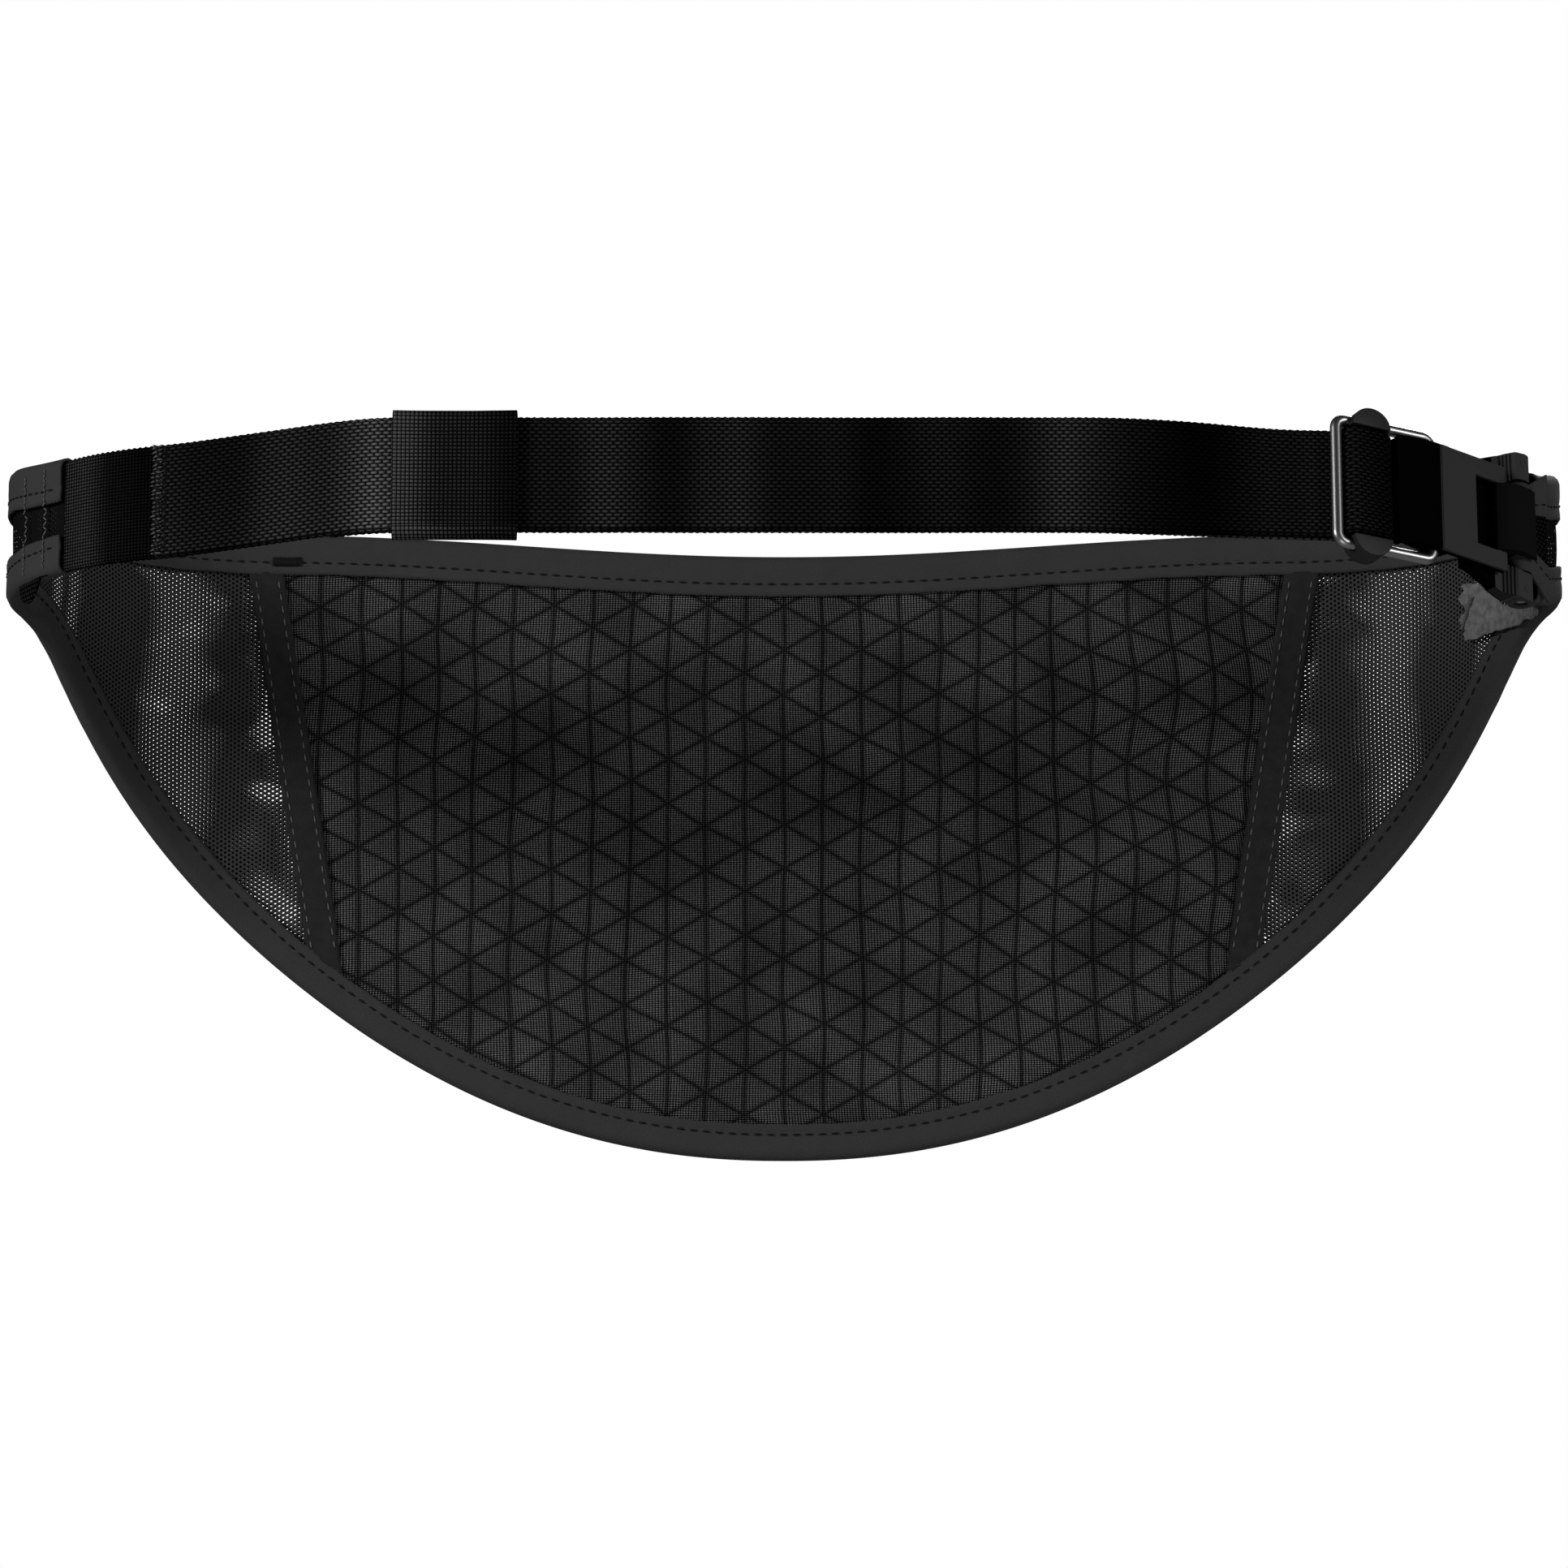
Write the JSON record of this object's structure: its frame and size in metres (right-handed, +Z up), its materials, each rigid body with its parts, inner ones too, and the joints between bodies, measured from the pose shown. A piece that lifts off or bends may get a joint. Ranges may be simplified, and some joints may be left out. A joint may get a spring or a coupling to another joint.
{
  "type": "running money belt",
  "caption": "Half-moon mesh running money belt closed in a loop: zipped pocket, elastic and webbing strap with keeper, wire-ring adjuster and hook buckle.",
  "frame": {"origin": "on the upright axis of the worn loop, 56 mm below the middle of the front strap", "axes": "+Z up as worn, +Y from the wearer's middle out through the pouch, +X toward the buckle end"},
  "size_m": [0.3402, 0.1268, 0.1468],
  "materials": {
    "knit": "black double-knit with an embossed triangle lattice",
    "mesh": "black open hexagonal mesh",
    "binding": "dark grey folded knit tape",
    "seam_tape": "black woven seam tape",
    "webbing": "black woven webbing",
    "elastic": "black woven elastic",
    "gunmetal_wire": "polished gunmetal wire",
    "buckle_plastic": "black fine-textured plastic",
    "zip_plastic": "black nylon coil"
  },
  "bodies": {
    "pouch": {"back_panel": "knit", "front_panel_lower": "knit", "front_panel_upper": "knit", "seam_tape_left": "seam_tape", "seam_tape_right": "seam_tape", "wing_mesh_left_inner": "mesh", "wing_mesh_left_outer": "mesh", "wing_mesh_right_inner": "mesh", "wing_mesh_right_outer": "mesh", "top_binding": "binding", "bottom_binding": "binding", "pin_loop": "binding", "tab_fold": "binding", "zip_tape_lower": "seam_tape", "zip_tape_upper": "seam_tape", "zip_coil_lower": "zip_plastic", "zip_coil_upper": "zip_plastic", "zip_stop_left": "zip_plastic", "zip_stop_right": "zip_plastic"},
    "strap": {"webbing": "webbing", "elastic_strap": "elastic", "slider_bar": "buckle_plastic"},
    "keeper": {"keeper_loop": "elastic"},
    "ring": {"ring_wire": "gunmetal_wire"},
    "hook": {"hook_plate": "buckle_plastic"},
    "yoke": {"yoke": "buckle_plastic", "yoke_pin": "gunmetal_wire"},
    "zip_slider": {"zip_slider": "gunmetal_wire"},
    "zip_pull": {"zip_pull": "gunmetal_wire"}
  },
  "joints": [
    {"name": "belt_open", "type": "hinge", "parent": "pouch", "child": "strap", "pos_m": [-0.15414, -0.04023, 0.0509], "axis": [0, 0, -1], "range_deg": [0, 60]},
    {"name": "keeper_slide", "type": "slide", "parent": "strap", "child": "keeper", "axis": [1, 0, 0], "range_m": [0, 0.11]},
    {"name": "ring_slide", "type": "slide", "parent": "strap", "child": "ring", "axis": [-0.9093, -0.4049, 0.0958], "range_m": [0, 0.0005]},
    {"name": "hook_swing", "type": "hinge", "parent": "ring", "child": "hook", "pos_m": [0.13623, -0.04792, 0.05232], "axis": [-0.0156, -0.197, -0.9803], "range_deg": [0, 75]},
    {"name": "yoke_swing", "type": "hinge", "parent": "pouch", "child": "yoke", "pos_m": [0.15644, -0.03293, 0.04898], "axis": [-0.0156, -0.197, -0.9803], "range_deg": [0, 30]},
    {"name": "zip_run", "type": "slide", "parent": "pouch", "child": "zip_slider", "axis": [-1, 0, 0], "range_m": [0, 0.168]},
    {"name": "pull_flip", "type": "hinge", "parent": "zip_slider", "child": "zip_pull", "pos_m": [0.084, 0.0609, 0.04], "axis": [0, 0, -1], "range_deg": [0, 170]}
  ]
}
